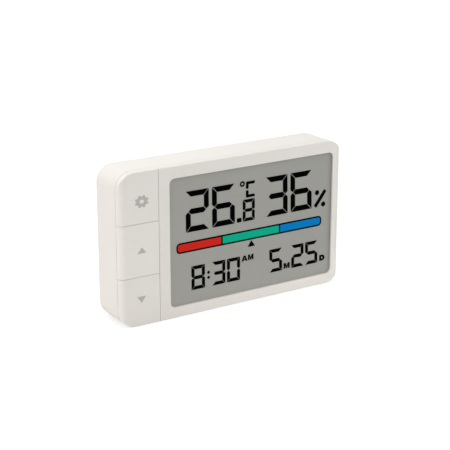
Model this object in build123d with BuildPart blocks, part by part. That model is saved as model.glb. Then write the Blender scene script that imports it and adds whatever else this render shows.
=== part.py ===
from build123d import *
import math
import os

os.makedirs("parts", exist_ok=True)

# A slim thermometer, hygrometer and clock that stands on its bottom edge.
# X runs to the right as the reader sees it, Y into the object and Z up.
# The origin is the middle of the bottom, and every depth counts back from the front face.

# Case
case_width = 93.0
case_height = 55.0
corner_radius = 6.1
side_round = 2.2
front_edge_break = 0.4
rear_edge_round = 0.8
wall = 1.6
seam_depth = 2.4
seam_gap = 0.14

# Front wall, and the tongue that runs inside the rim of the rear housing
front_wall = 1.4
step_wall = 1.2
tongue_inset = 0.92
tongue_reach = 0.9
tongue_gap = 0.12

# Display window and the recess of the display behind the front face
bezel_left = 4.27
bezel_right = 3.65
bezel_top = 4.36
bezel_bottom = 3.9
window_radius = 2.0
window_recess = 0.7

# Button column
column_width = 15.4
settings_button_height = 18.2
down_button_height = 17.9
button_gap = 0.14
button_face = 1.2
button_drop = 0.05
button_skirt = 0.8
button_rear_gap = 0.22

# Shelf behind the buttons
shelf_depth = 1.7
shelf_thickness = 1.3

# Button plungers and guide legs
plunger_radius = 1.3
plunger_clearance = 0.15
leg_thickness = 0.9
leg_height = 3.0
leg_spread = 10.2
leg_clearance = 0.15
barb_reach = 0.5
barb_height = 0.6
barb_gap = 0.1

# Display cell
polariser_thickness = 0.2
glass_thickness = 0.7
polariser_margin = 0.6
glass_margin = 0.9
glass_ledge = 1.8
rear_glass_drop = 0.1
glass_corner_cut = 2.0
glass_clearance = 0.2

# Circuit board
board_depth = 6.0
board_thickness = 1.0
board_edge_gap = 0.6
board_post_margin = 0.5
board_bay_gap = 0.8
board_corner_notch = 5.0
board_corner_radius = 4.0
board_inner_radius = 1.0

# Contact strip, its spacer bar and the foam pad
strip_inset = 2.2
strip_height = 1.4
strip_clearance = 0.1
spacer_height = 4.0
foam_thickness = 0.4
foam_height = 7.0

# Push switches
switch_width = 3.5
switch_height = 3.0
switch_body_depth = 1.5
switch_cover_thickness = 0.15
switch_floor = 0.3
stem_radius = 0.85
stem_clearance = 0.1
stem_end_gap = 0.05
stem_reach = 0.4
stem_insertion = 0.7

# Cells
cell_radius = 5.25
cell_length = 44.5
nub_radius = 2.6
nub_length = 1.0
can_edge_round = 0.4
sleeve_thickness = 0.15
sleeve_edge = 0.9
cell_gap = 0.4
cell_side_gap = 0.3
cell_floor_gap = 0.1
cell_back_gap = 0.3

# Battery bay
bay_floor = 0.8
bay_wall = 1.0
bay_side_gap = 1.33
bay_top_gap = 0.4
spring_room = 4.4

# Battery contacts
plate_thickness = 0.3
plate_width = 8.0
plate_height = 8.4
dimple_radius = 1.5
dimple_height = 0.5
tail_width = 2.5
tail_on_board = 2.3
tail_slot_gap = 0.1
spring_wire_radius = 0.25
spring_small_radius = 1.7
spring_large_radius = 3.4
spring_turns = 4

# Battery door and its ledge
door_side_lap = 2.0
door_end_lap = 0.8
door_thickness = 1.4
door_gap = 0.15
ledge_width = 1.6
ledge_thickness = 1.1

# Grip grooves in the door, above the latch
grip_length = 14.0
grip_width = 0.8
grip_depth = 0.35
grip_pitch = 1.8
grip_count = 4
grip_rise = 4.2

# Door hooks, along the top edge
hook_inset = 9.0
hook_width = 6.0
hook_thickness = 1.0
hook_reach = 1.9
hook_root = 1.5
hook_wall_gap = 0.1
hook_slot_gap = 0.2

# Door latch, in the middle of the bottom edge
latch_width = 10.0
latch_thickness = 0.8
latch_bend_radius = 0.35
latch_inset = 0.25
latch_bend_reach = 1.3
latch_gap = 0.5
catch_reach = 1.4
catch_thickness = 0.8
catch_gap = 0.25

# Thumb scoop in the back below the latch
scoop_radius = 6.5
scoop_depth = 0.9
scoop_drop = 0.6

# Screws and their posts
board_post_radius = 1.6
board_screw_radius = 0.75
board_head_radius = 1.5
board_head_height = 1.0
board_screw_reach = 2.0
housing_screw_radius = 0.95
housing_head_radius = 1.9
housing_head_height = 1.4
housing_head_depth = 11.0
housing_tip_depth = 5.0
housing_post_radius = 1.9
housing_post_depth = 9.0
housing_tube_radius = 2.9
housing_tube_gap = 0.1
housing_screw_inset = 4.4
screw_clearance = 0.15
thread_clearance = 0.03
head_clearance = 0.2
pilot_extra = 0.6
driver_slot_width = 0.5
driver_slot_depth = 0.6

# Snap tabs of the front frame, and their pockets in the rear housing
tab_width = 6.0
tab_thickness = 0.9
tab_end_depth = 7.4
tab_barb = 0.5
tab_barb_height = 1.0
tab_gap = 0.1
tab_pocket_gap = 0.2
tab_root_depth = 2.7
right_tab_shares = (0.255, 0.745)
top_tab_shares = (0.285, 0.715)

# Board supports in the rear housing, placed by shares of the board's lower strip
support_radius = 1.2
support_shares = ((0.45, 0.13), (0.73, 0.13), (0.94, 0.87))

# Components on the back of the board, placed by shares of its lower strip
blob_radius = 6.5
blob_height = 1.5
blob_shares = (0.55, 0.49)
sensor_size = 2.5
sensor_height = 0.9
sensor_shares = (0.9, 0.43)
crystal_radius = 1.0
crystal_length = 6.0
crystal_shares = (0.4, 0.72)
capacitor_width = 1.6
capacitor_height = 0.8
capacitor_pitch = 3.0
capacitor_count = 5
capacitor_shares = (0.71, 0.79)

# Vents beside the sensor
vent_length = 11.0
vent_width = 1.2
vent_pitch = 2.6
vent_count = 5

overrun = 1.0

# Depths that follow from the sizes above
shelf_back = shelf_depth + shelf_thickness
shelf_round = side_round - button_face
button_back = seam_depth - button_rear_gap
frame_back = seam_depth - seam_gap
tongue_back = seam_depth + tongue_reach
glass_front = window_recess + polariser_thickness
glass_middle = glass_front + glass_thickness
glass_back = glass_middle + glass_thickness
display_back = glass_back + polariser_thickness
bay_floor_depth = display_back + foam_thickness
bay_inner_depth = bay_floor_depth + bay_floor
cell_depth = bay_inner_depth + cell_floor_gap + cell_radius
rear_wall_front = cell_depth + cell_radius + cell_back_gap
case_depth = rear_wall_front + wall
door_front = case_depth - door_thickness
board_back = board_depth + board_thickness
switch_front = board_depth - switch_body_depth
switch_cover_front = switch_front - switch_cover_thickness
stem_front = switch_cover_front - stem_reach
plunger_end = stem_front - stem_end_gap
leg_end = shelf_back + barb_gap + barb_height

# Places across the front
middle = case_height / 2
left = -case_width / 2
right = case_width / 2
column_right = left + column_width
button_x = (left + column_right) / 2
upper_seam = case_height - settings_button_height
lower_seam = down_button_height
window_left = column_right + bezel_left
window_right = right - bezel_right
window_bottom = bezel_bottom
window_top = case_height - bezel_top
window_x = (window_left + window_right) / 2
window_z = (window_bottom + window_top) / 2
bezel_start = column_right + button_gap / 2
bezel_inside = bezel_start + step_wall
button_spans = {
    "settings": (upper_seam, case_height),
    "up": (lower_seam, upper_seam),
    "down": (0, lower_seam),
}

# Battery bay, beside the board's column and under the top tabs
tab_outer = right - wall - tab_gap
tab_top_outer = case_height - wall - tab_gap
inner_post_x = bezel_start + board_post_radius
board_column_right = inner_post_x + board_post_radius + board_post_margin
cell_spacing = 2 * cell_radius + cell_gap
bay_half_height = cell_spacing / 2 + cell_radius + cell_side_gap
bay_top = tab_top_outer - tab_thickness - bay_top_gap - bay_wall
bay_centre_height = bay_top - bay_half_height
bay_bottom = bay_centre_height - bay_half_height
lower_cell_z = bay_centre_height - cell_spacing / 2
upper_cell_z = bay_centre_height + cell_spacing / 2
bay_half_length = (cell_length + spring_room + dimple_height) / 2 + plate_thickness
bay_x = board_column_right + bay_side_gap + bay_wall + bay_half_length
plate_face = bay_half_length - plate_thickness
cell_tip = plate_face - dimple_height
cell_tail = cell_length - cell_tip

# Circuit board
board_left = left + wall + board_edge_gap
board_right = right - wall - board_edge_gap
board_bottom = wall + board_edge_gap
board_top = case_height - wall - board_edge_gap
board_strip_top = bay_bottom - bay_wall - board_bay_gap
strip_bottom = window_bottom - glass_ledge + strip_clearance
spacer_bottom = strip_bottom + strip_height + strip_clearance

# Door, its hooks and its latch
door_half_width = bay_half_length + door_side_lap
door_bottom = bay_bottom - door_end_lap
door_top = bay_top + door_end_lap
opening_bottom = door_bottom - door_gap
hinge_depth = case_depth - door_thickness / 2
hinge_z = door_top - door_thickness / 2
hook_x = bay_half_length - hook_inset
hook_back = rear_wall_front - hook_wall_gap
hook_front = hook_back - hook_thickness
hook_tip = hinge_z + hook_reach
hook_sweep = math.hypot(hinge_depth - hook_front, hook_reach)
latch_bend_depth = door_front - latch_bend_reach
latch_bottom = door_bottom + latch_inset
latch_bend_z = latch_bottom + latch_thickness + latch_bend_radius
latch_top = latch_bend_z + latch_bend_radius + latch_thickness
latch_front = latch_bend_depth - latch_bend_radius - latch_thickness
latch_half = latch_width / 2 + latch_gap
catch_back = rear_wall_front - catch_gap
catch_bottom = latch_bottom - catch_reach

# Screws
housing_screw_places = [
    (left + housing_screw_inset, housing_screw_inset),
    (left + housing_screw_inset, case_height - housing_screw_inset),
]
outer_post_x = board_left + board_post_radius + screw_clearance
board_screw_places = [
    (outer_post_x, lower_seam),
    (outer_post_x, upper_seam),
    (inner_post_x, window_bottom + board_post_radius),
    (inner_post_x, window_top - board_post_radius),
]


# Plane facing the reader, at a depth behind the front face
def layer(depth):
    return Plane.XZ.offset(case_depth / 2 - depth)


# Y of a depth behind the front face
def y_at(depth):
    return depth - case_depth / 2


# Upright block between two depths, drawn on its rear face and pulled forwards
def block(x_span, z_span, depth_span, mode=Mode.ADD):
    near, far = depth_span
    with BuildSketch(layer(far)) as face:
        with Locations(((x_span[0] + x_span[1]) / 2, (z_span[0] + z_span[1]) / 2)):
            Rectangle(x_span[1] - x_span[0], z_span[1] - z_span[0])
    extrude(face.sketch, amount=far - near, mode=mode)


# Place on the board's lower strip, from shares of its length and height
def strip_place(shares):
    x = board_left + shares[0] * (board_right - board_left)
    z = board_bottom + shares[1] * (board_strip_top - board_bottom)
    return x, z


# Block centred on a place
def pad(place, width, height, depth_span, mode=Mode.ADD):
    x, z = place
    block((x - width / 2, x + width / 2), (z - height / 2, z + height / 2), depth_span, mode)


# Round posts or holes along the depth
def posts(places, radius, depth_span, mode=Mode.ADD):
    near, far = depth_span
    with BuildSketch(layer(far)) as face:
        with Locations(*places):
            Circle(radius)
    extrude(face.sketch, amount=far - near, mode=mode)


# Slab of the case outline seen from the front, drawn in by an inset
def case_slab(inset, depth_span, mode=Mode.ADD):
    near, far = depth_span
    with BuildSketch(layer(far)) as face:
        with Locations((0, middle)):
            RectangleRounded(case_width - 2 * inset, case_height - 2 * inset, corner_radius - inset)
    extrude(face.sketch, amount=far - near, mode=mode)


# Keeps what lies inside the case outline seen from above, with its two front corners rounded
def keep_plan(front_depth, inset, radius):
    front = y_at(front_depth)
    back = y_at(case_depth)
    side = right - inset
    with BuildSketch(Plane.XY) as face:
        with BuildLine():
            Line((-side + radius, front), (side - radius, front))
            RadiusArc((side - radius, front), (side, front + radius), -radius)
            Polyline((side, front + radius), (side, back), (-side, back), (-side, front + radius))
            RadiusArc((-side, front + radius), (-side + radius, front), -radius)
        make_face()
    extrude(face.sketch, amount=case_height, mode=Mode.INTERSECT)


# Front layer of the case between two depths, with all its outer rounding
def front_blank(near, far):
    case_slab(0, (near, far))
    rim = edges().filter_by_position(Axis.Y, y_at(near), y_at(near))
    fillet(rim, front_edge_break)
    keep_plan(near, 0, side_round)


# Outline of a display layer: the window with margins and its corners cut off
def display_layer(margin, bottom_margin, depth_span, mode=Mode.ADD, corner_cut=glass_corner_cut):
    near, far = depth_span
    width = window_right - window_left + 2 * margin
    low = window_bottom - bottom_margin
    high = window_top + margin
    with BuildSketch(layer(far)) as face:
        with Locations((window_x, (low + high) / 2)):
            Rectangle(width, high - low)
        chamfer(face.vertices(), corner_cut)
    extrude(face.sketch, amount=far - near, mode=mode)


# Cross for the driver in the head of each screw
def driver_cross(places, head_radius, head_back):
    for place in places:
        depth_span = (head_back - driver_slot_depth, head_back + overrun)
        slot_length = 2 * (head_radius - driver_slot_width)
        pad(place, slot_length, driver_slot_width, depth_span, Mode.SUBTRACT)
        pad(place, driver_slot_width, slot_length, depth_span, Mode.SUBTRACT)


# Label and file of a finished piece
def finish(builder, name):
    builder.part.label = name
    export_step(builder.part, "parts/" + name + ".step")


# Hollow of the button caps, and hollow of the bezel behind its front wall
with BuildPart() as button_hollow:
    case_slab(button_skirt, (button_face, seam_depth))
    keep_plan(button_face, button_skirt, shelf_round)

with BuildPart() as bezel_hollow:
    case_slab(wall, (front_wall, case_depth))
    block((left, bezel_inside), (0, case_height), (0, case_depth), Mode.SUBTRACT)

# Front frame: tongue and shelf first, then the bezel in front of them
with BuildPart() as bezel:
    front_blank(0, frame_back)
    block((left, bezel_start), (0, case_height), (0, case_depth), Mode.SUBTRACT)

with BuildPart() as front_frame:
    case_slab(tongue_inset, (shelf_depth, tongue_back))
    keep_plan(shelf_depth, tongue_inset, shelf_round)
    case_slab(wall, (shelf_back, case_depth), Mode.SUBTRACT)
    add(bezel.part)
    add(bezel_hollow.part, mode=Mode.SUBTRACT)
    with BuildSketch(layer(front_wall)):
        with Locations((window_x, window_z)):
            RectangleRounded(window_right - window_left, window_top - window_bottom, window_radius)
    extrude(amount=front_wall + overrun, mode=Mode.SUBTRACT)
    display_layer(
        glass_margin + glass_clearance,
        glass_ledge + glass_clearance,
        (window_recess, shelf_back),
        Mode.SUBTRACT,
    )
    posts(housing_screw_places, housing_post_radius, (shelf_depth, housing_post_depth))
    posts(board_screw_places[:2], board_post_radius, (shelf_depth, board_depth))
    posts(board_screw_places[2:], board_post_radius, (window_recess, board_depth))
    posts(
        housing_screw_places,
        housing_screw_radius + thread_clearance,
        (housing_tip_depth - pilot_extra, housing_post_depth),
        Mode.SUBTRACT,
    )
    posts(
        board_screw_places,
        board_screw_radius + thread_clearance,
        (board_depth - board_screw_reach - pilot_extra, board_depth),
        Mode.SUBTRACT,
    )
    for low, high in button_spans.values():
        centre = (low + high) / 2
        posts(
            [(button_x, centre)],
            plunger_radius + plunger_clearance,
            (0, shelf_back),
            Mode.SUBTRACT,
        )
        for side in (-1, 1):
            pad(
                (button_x + side * leg_spread / 2, centre),
                leg_thickness + 2 * leg_clearance,
                leg_height + 2 * leg_clearance,
                (0, shelf_back),
                Mode.SUBTRACT,
            )
    for share in right_tab_shares:
        height = share * case_height
        tab_z = (height - tab_width / 2, height + tab_width / 2)
        block((tab_outer - tab_thickness, tab_outer), tab_z, (tab_root_depth, tab_end_depth))
        block((tab_outer - tab_thickness, right - tongue_inset), tab_z, (tab_root_depth, tongue_back))
        barb_span = (tab_end_depth - tab_barb_height, tab_end_depth)
        block((tab_outer, tab_outer + tab_barb), tab_z, barb_span)
    for share in top_tab_shares:
        place = left + share * case_width
        tab_x = (place - tab_width / 2, place + tab_width / 2)
        block(tab_x, (tab_top_outer - tab_thickness, tab_top_outer), (front_wall, tab_end_depth))
        block(
            tab_x,
            (tab_top_outer - tab_thickness, case_height - tongue_inset),
            (front_wall, tongue_back),
        )
        barb_span = (tab_end_depth - tab_barb_height, tab_end_depth)
        block(tab_x, (tab_top_outer, tab_top_outer + tab_barb), barb_span)
finish(front_frame, "front_frame")

# Button caps, each with a plunger and two barbed guide legs
for button_name, (low, high) in button_spans.items():
    centre = (low + high) / 2
    below = low - overrun if low == 0 else low + button_gap / 2
    above = high + overrun if high == case_height else high - button_gap / 2
    with BuildPart() as button:
        front_blank(button_drop, button_back)
        block(
            (left - overrun, column_right - button_gap / 2),
            (below, above),
            (-overrun, button_back),
            Mode.INTERSECT,
        )
        add(button_hollow.part, mode=Mode.SUBTRACT)
        posts([(button_x, centre)], plunger_radius, (button_face, plunger_end))
        for side in (-1, 1):
            leg_x = button_x + side * leg_spread / 2
            pad((leg_x, centre), leg_thickness, leg_height, (button_face, leg_end))
            barb_x = leg_x - side * (leg_thickness + barb_reach) / 2
            pad((barb_x, centre), barb_reach, leg_height, (leg_end - barb_height, leg_end))
    finish(button, button_name + "_button")

# Display cell, from the front polariser back
with BuildPart() as front_polariser:
    display_layer(polariser_margin, polariser_margin, (window_recess, glass_front))
finish(front_polariser, "front_polariser")

with BuildPart() as front_glass:
    display_layer(glass_margin, glass_ledge, (glass_front, glass_middle))
finish(front_glass, "front_glass")

with BuildPart() as rear_glass:
    display_layer(glass_margin, rear_glass_drop, (glass_middle, glass_back))
finish(rear_glass, "rear_glass")

with BuildPart() as rear_polariser:
    display_layer(polariser_margin, 0, (glass_back, display_back))
finish(rear_polariser, "rear_polariser")

with BuildPart() as contact_strip:
    pad(
        (window_x, strip_bottom + strip_height / 2),
        window_right - window_left - 2 * strip_inset,
        strip_height,
        (glass_middle, board_depth),
    )
finish(contact_strip, "contact_strip")

with BuildPart() as display_spacer:
    block(
        (window_left - polariser_margin, window_right + polariser_margin),
        (spacer_bottom, spacer_bottom + spacer_height),
        (display_back, board_depth),
    )
finish(display_spacer, "display_spacer")

with BuildPart() as foam_pad:
    pad((bay_x, upper_cell_z), 2 * bay_half_length, foam_height, (display_back, bay_floor_depth))
finish(foam_pad, "foam_pad")

# L-shaped board: a column behind the buttons and a strip below the battery bay
with BuildPart() as main_board:
    with BuildSketch(layer(board_back)) as outline:
        with BuildLine():
            Polyline(
                (board_left, board_bottom + board_corner_notch),
                (board_left + board_corner_notch, board_bottom + board_corner_notch),
                (board_left + board_corner_notch, board_bottom),
                (board_right, board_bottom),
                (board_right, board_strip_top),
                (board_column_right, board_strip_top),
                (board_column_right, board_top),
                (board_left + board_corner_notch, board_top),
                (board_left + board_corner_notch, board_top - board_corner_notch),
                (board_left, board_top - board_corner_notch),
                close=True,
            )
        make_face()
        corner = outline.vertices().sort_by_distance((board_right, board_bottom))[0]
        fillet(corner, board_corner_radius)
        inner = outline.vertices().sort_by_distance((board_column_right, board_strip_top))[0]
        fillet(inner, board_inner_radius)
    extrude(amount=board_thickness)
    posts(
        board_screw_places,
        board_screw_radius + screw_clearance,
        (board_depth, board_back),
        Mode.SUBTRACT,
    )
    for share in right_tab_shares:
        height = share * case_height
        tab_inside = tab_outer - tab_thickness - board_edge_gap / 2
        block(
            (tab_inside, right),
            (height - tab_width / 2 - board_edge_gap, height + tab_width / 2 + board_edge_gap),
            (board_depth, board_back),
            Mode.SUBTRACT,
        )
finish(main_board, "main_board")

# Push switches on the front of the board
switch_places = [(button_x, (low + high) / 2) for low, high in button_spans.values()]

with BuildPart() as switch_bodies:
    for place in switch_places:
        pad(place, switch_width, switch_height, (switch_front, board_depth))
    posts(
        switch_places,
        stem_radius + stem_clearance,
        (switch_front, board_depth - switch_floor),
        Mode.SUBTRACT,
    )
finish(switch_bodies, "switch_bodies")

with BuildPart() as switch_covers:
    for place in switch_places:
        pad(place, switch_width, switch_height, (switch_cover_front, switch_front))
    posts(
        switch_places,
        stem_radius + stem_clearance,
        (switch_cover_front, switch_front),
        Mode.SUBTRACT,
    )
finish(switch_covers, "switch_covers")

for button_name, place in zip(button_spans, switch_places):
    with BuildPart() as stem:
        posts([place], stem_radius, (stem_front, switch_front + stem_insertion))
    finish(stem, button_name + "_switch_stem")

# Components on the back of the board
with BuildPart() as controller_blob:
    blob_x, blob_z = strip_place(blob_shares)
    dome_radius = (blob_radius**2 + blob_height**2) / (2 * blob_height)
    dome_centre = board_back + blob_height - dome_radius
    with Locations((blob_x, y_at(dome_centre), blob_z)):
        Sphere(dome_radius)
    posts([(blob_x, blob_z)], dome_radius, (board_back, board_back + dome_radius), Mode.INTERSECT)
finish(controller_blob, "controller_blob")

with BuildPart() as sensor_chip:
    sensor_depths = (board_back, board_back + sensor_height)
    pad(strip_place(sensor_shares), sensor_size, sensor_size, sensor_depths)
finish(sensor_chip, "sensor_chip")

with BuildPart() as clock_crystal:
    crystal_x, crystal_z = strip_place(crystal_shares)
    with BuildSketch(Plane.YZ.offset(crystal_x - crystal_length / 2)):
        with Locations((y_at(board_back + crystal_radius), crystal_z)):
            Circle(crystal_radius)
    extrude(amount=crystal_length)
finish(clock_crystal, "clock_crystal")

with BuildPart() as board_capacitors:
    capacitor_x, capacitor_z = strip_place(capacitor_shares)
    capacitor_depths = (board_back, board_back + capacitor_height)
    for count in range(capacitor_count):
        place = (capacitor_x + count * capacitor_pitch, capacitor_z)
        pad(place, capacitor_width, capacitor_height, capacitor_depths)
finish(board_capacitors, "board_capacitors")

# Block over the battery bay, wider than its inside by two margins
def bay_block(side_margin, end_margin, depth_span, mode=Mode.ADD):
    width = 2 * (bay_half_length + side_margin)
    height = 2 * (bay_half_height + end_margin)
    pad((bay_x, bay_centre_height), width, height, depth_span, mode)


# Rear housing: shell, battery bay, ledge for the door, screw tubes, vents and thumb scoop
with BuildPart() as rear_housing:
    case_slab(0, (seam_depth, case_depth))
    back_rim = edges().filter_by_position(Axis.Y, y_at(case_depth), y_at(case_depth))
    fillet(back_rim, rear_edge_round)
    case_slab(wall, (seam_depth, rear_wall_front), Mode.SUBTRACT)
    case_slab(
        tongue_inset - tongue_gap,
        (seam_depth, tongue_back + tongue_gap),
        Mode.SUBTRACT,
    )
    bay_block(
        door_side_lap + door_gap + ledge_width,
        door_end_lap + door_gap + ledge_width,
        (rear_wall_front - ledge_thickness, rear_wall_front),
    )
    bay_block(bay_wall, bay_wall, (bay_floor_depth, rear_wall_front))
    posts(
        housing_screw_places,
        housing_tube_radius,
        (housing_post_depth + housing_tube_gap, rear_wall_front),
    )
    support_places = [strip_place(shares) for shares in support_shares]
    posts(support_places, support_radius, (board_back, rear_wall_front))
    bay_block(0, 0, (bay_inner_depth, case_depth), Mode.SUBTRACT)
    bay_block(
        door_side_lap + door_gap,
        door_end_lap + door_gap,
        (rear_wall_front, case_depth),
        Mode.SUBTRACT,
    )
    for side in (-1, 1):
        hook_half = hook_width / 2 + hook_slot_gap
        block(
            (bay_x + side * hook_x - hook_half, bay_x + side * hook_x + hook_half),
            (bay_top - overrun, hook_tip + hook_slot_gap),
            (hinge_depth - hook_sweep - hook_slot_gap, rear_wall_front),
            Mode.SUBTRACT,
        )
    block(
        (bay_x - latch_half, bay_x + latch_half),
        (opening_bottom - ledge_width, bay_bottom + overrun),
        (latch_front - catch_gap, rear_wall_front),
        Mode.SUBTRACT,
    )
    for height in (lower_cell_z, upper_cell_z):
        block(
            (bay_x - bay_half_length - bay_wall, bay_x - bay_half_length),
            (height - tail_width / 2 - tail_slot_gap, height + tail_width / 2 + tail_slot_gap),
            (board_back - tail_slot_gap, board_back + plate_thickness + tail_slot_gap),
            Mode.SUBTRACT,
        )
    posts(
        housing_screw_places,
        housing_screw_radius + screw_clearance,
        (housing_post_depth, case_depth),
        Mode.SUBTRACT,
    )
    posts(
        housing_screw_places,
        housing_head_radius + head_clearance,
        (housing_head_depth, case_depth),
        Mode.SUBTRACT,
    )
    pocket_depths = (tab_end_depth - tab_barb_height - tab_pocket_gap, tab_end_depth + tab_pocket_gap)
    for share in right_tab_shares:
        height = share * case_height
        block(
            (right - wall - overrun, tab_outer + tab_barb + tab_gap),
            (height - tab_width / 2 - tab_pocket_gap, height + tab_width / 2 + tab_pocket_gap),
            pocket_depths,
            Mode.SUBTRACT,
        )
    for share in top_tab_shares:
        place = left + share * case_width
        block(
            (place - tab_width / 2 - tab_pocket_gap, place + tab_width / 2 + tab_pocket_gap),
            (tab_top_outer, tab_top_outer + tab_barb + tab_gap),
            pocket_depths,
            Mode.SUBTRACT,
        )
    with BuildSketch(layer(case_depth)):
        with Locations(strip_place(sensor_shares)):
            with GridLocations(0, vent_pitch, 1, vent_count):
                SlotOverall(vent_length, vent_width)
    extrude(amount=wall + overrun, mode=Mode.SUBTRACT)
    scoop_sphere = (scoop_radius**2 + scoop_depth**2) / (2 * scoop_depth)
    scoop_y = y_at(case_depth - scoop_depth + scoop_sphere)
    with Locations((bay_x, scoop_y, opening_bottom - scoop_drop)):
        Sphere(scoop_sphere, mode=Mode.SUBTRACT)
finish(rear_housing, "rear_housing")

# Battery door: a plate whose rounded top edge turns in place, with two hooks behind it
with BuildPart() as battery_door:
    with BuildSketch(Plane.YZ.offset(bay_x - door_half_width)):
        with Locations((y_at(hinge_depth), (door_bottom + hinge_z) / 2)):
            Rectangle(door_thickness, hinge_z - door_bottom)
        with Locations((y_at(hinge_depth), hinge_z)):
            Circle(door_thickness / 2)
    extrude(amount=2 * door_half_width)
    for side in (-1, 1):
        hook_centre = bay_x + side * hook_x
        hook_span = (hook_centre - hook_width / 2, hook_centre + hook_width / 2)
        block(hook_span, (hinge_z - hook_root, hinge_z), (hook_front, hinge_depth))
        block(hook_span, (hinge_z, hook_tip), (hook_front, hook_back))
    block(
        (bay_x - latch_half, bay_x + latch_half),
        (door_bottom - overrun, latch_bottom + latch_thickness + latch_gap),
        (door_front - overrun, case_depth + overrun),
        Mode.SUBTRACT,
    )
    with BuildSketch(layer(case_depth)):
        with Locations((bay_x, latch_top + latch_gap + grip_rise)):
            with GridLocations(0, grip_pitch, 1, grip_count):
                SlotOverall(grip_length, grip_width)
    extrude(amount=grip_depth, mode=Mode.SUBTRACT)
finish(battery_door, "battery_door")

# Latch: a springy bend behind the door, with a catch under the edge of the opening
with BuildPart() as door_latch:
    with BuildSketch(Plane.YZ.offset(bay_x - latch_width / 2)):
        with Locations((y_at(latch_bend_depth), latch_bend_z)):
            Circle(latch_bend_radius + latch_thickness)
            Circle(latch_bend_radius, mode=Mode.SUBTRACT)
        with Locations((y_at(latch_bend_depth + overrun), latch_bend_z)):
            Rectangle(2 * overrun, 2 * (latch_top - latch_bend_z), mode=Mode.SUBTRACT)
        with Locations(
            (y_at((latch_bend_depth + case_depth) / 2), latch_bottom + latch_thickness / 2)
        ):
            Rectangle(case_depth - latch_bend_depth, latch_thickness)
        with Locations(
            (y_at((latch_bend_depth + door_front) / 2), latch_top - latch_thickness / 2)
        ):
            Rectangle(door_front - latch_bend_depth, latch_thickness)
        with Locations(
            (y_at(catch_back - catch_thickness / 2), (catch_bottom + latch_bottom) / 2)
        ):
            Rectangle(catch_thickness, catch_reach)
    extrude(amount=latch_width)
finish(door_latch, "door_latch")

# Cells: the upper one points left and the lower one right
with BuildPart() as battery_cells:
    for side, height in ((-1, upper_cell_z), (1, lower_cell_z)):
        can_start = (bay_x - side * cell_tail, y_at(cell_depth), height)
        can_plane = Plane(origin=can_start, z_dir=(side, 0, 0))
        with BuildSketch(can_plane) as can:
            Circle(cell_radius - sleeve_thickness)
        extrude(can.sketch, amount=cell_length - nub_length)
        with BuildSketch(can_plane) as nub:
            Circle(nub_radius)
        extrude(nub.sketch, amount=cell_length)
    can_edges = edges().filter_by(GeomType.CIRCLE).group_by(SortBy.RADIUS)[-1]
    fillet(can_edges, can_edge_round)
finish(battery_cells, "battery_cells")

with BuildPart() as cell_sleeves:
    for side, height in ((-1, upper_cell_z), (1, lower_cell_z)):
        sleeve_start = Plane(
            origin=(bay_x + side * (sleeve_edge - cell_tail), y_at(cell_depth), height),
            z_dir=(side, 0, 0),
        )
        with BuildSketch(sleeve_start) as ring:
            Circle(cell_radius)
            Circle(cell_radius - sleeve_thickness, mode=Mode.SUBTRACT)
        extrude(ring.sketch, amount=cell_length - nub_length - 2 * sleeve_edge)
finish(cell_sleeves, "cell_sleeves")


# Plate at one end of the bay
def contact_plate(side, height):
    plate_x = sorted((side * plate_face, side * bay_half_length))
    block(
        (bay_x + plate_x[0], bay_x + plate_x[1]),
        (height - plate_height / 2, height + plate_height / 2),
        (cell_depth - plate_width / 2, cell_depth + plate_width / 2),
    )


# Raised dimple that meets a cell's nub
def dimple(side, height):
    dimple_start = (bay_x + side * plate_face, y_at(cell_depth), height)
    with BuildSketch(Plane(origin=dimple_start, z_dir=(-side, 0, 0))) as disc:
        Circle(dimple_radius)
    extrude(disc.sketch, amount=dimple_height)


# Strip from a plate to the board
def tail(height):
    block(
        (board_column_right - tail_on_board, bay_x - plate_face),
        (height - tail_width / 2, height + tail_width / 2),
        (board_back, board_back + plate_thickness),
    )


with BuildPart() as positive_tab:
    contact_plate(-1, upper_cell_z)
    dimple(-1, upper_cell_z)
    tail(upper_cell_z)
finish(positive_tab, "positive_tab")

with BuildPart() as negative_tab:
    contact_plate(-1, lower_cell_z)
    tail(lower_cell_z)
finish(negative_tab, "negative_tab")

with BuildPart() as link_plate:
    contact_plate(1, upper_cell_z)
    contact_plate(1, lower_cell_z)
    block(
        (bay_x + plate_face, bay_x + bay_half_length),
        (lower_cell_z, upper_cell_z),
        (cell_depth - tail_width, cell_depth + tail_width),
    )
    dimple(1, lower_cell_z)
finish(link_plate, "link_plate")

# Coil springs that narrow from the plate to the flat end of each cell
spring_length = plate_face - cell_tail - 2 * spring_wire_radius
spring_slope = (spring_large_radius - spring_small_radius) / spring_length
with BuildPart() as contact_springs:
    for side, height in ((1, upper_cell_z), (-1, lower_cell_z)):
        tip = bay_x + side * (cell_tail + spring_wire_radius)
        with BuildLine() as coil:
            Helix(
                pitch=spring_length / spring_turns,
                height=spring_length,
                radius=spring_small_radius,
                center=(tip, y_at(cell_depth), height),
                direction=(side, 0, 0),
                cone_angle=math.degrees(math.atan(spring_slope)),
            )
        with BuildSketch(coil.line ^ 0) as wire:
            Circle(spring_wire_radius)
        sweep(wire.sketch, path=coil.line, is_frenet=True)
finish(contact_springs, "contact_springs")

# Screws
with BuildPart() as board_screws:
    posts(board_screw_places, board_head_radius, (board_back, board_back + board_head_height))
    posts(board_screw_places, board_screw_radius, (board_depth - board_screw_reach, board_back))
    driver_cross(board_screw_places, board_head_radius, board_back + board_head_height)
finish(board_screws, "board_screws")

with BuildPart() as housing_screws:
    head_back = housing_head_depth + housing_head_height
    posts(housing_screw_places, housing_head_radius, (housing_head_depth, head_back))
    posts(housing_screw_places, housing_screw_radius, (housing_tip_depth, housing_head_depth))
    driver_cross(housing_screw_places, housing_head_radius, head_back)
finish(housing_screws, "housing_screws")
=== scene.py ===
import math

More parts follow.
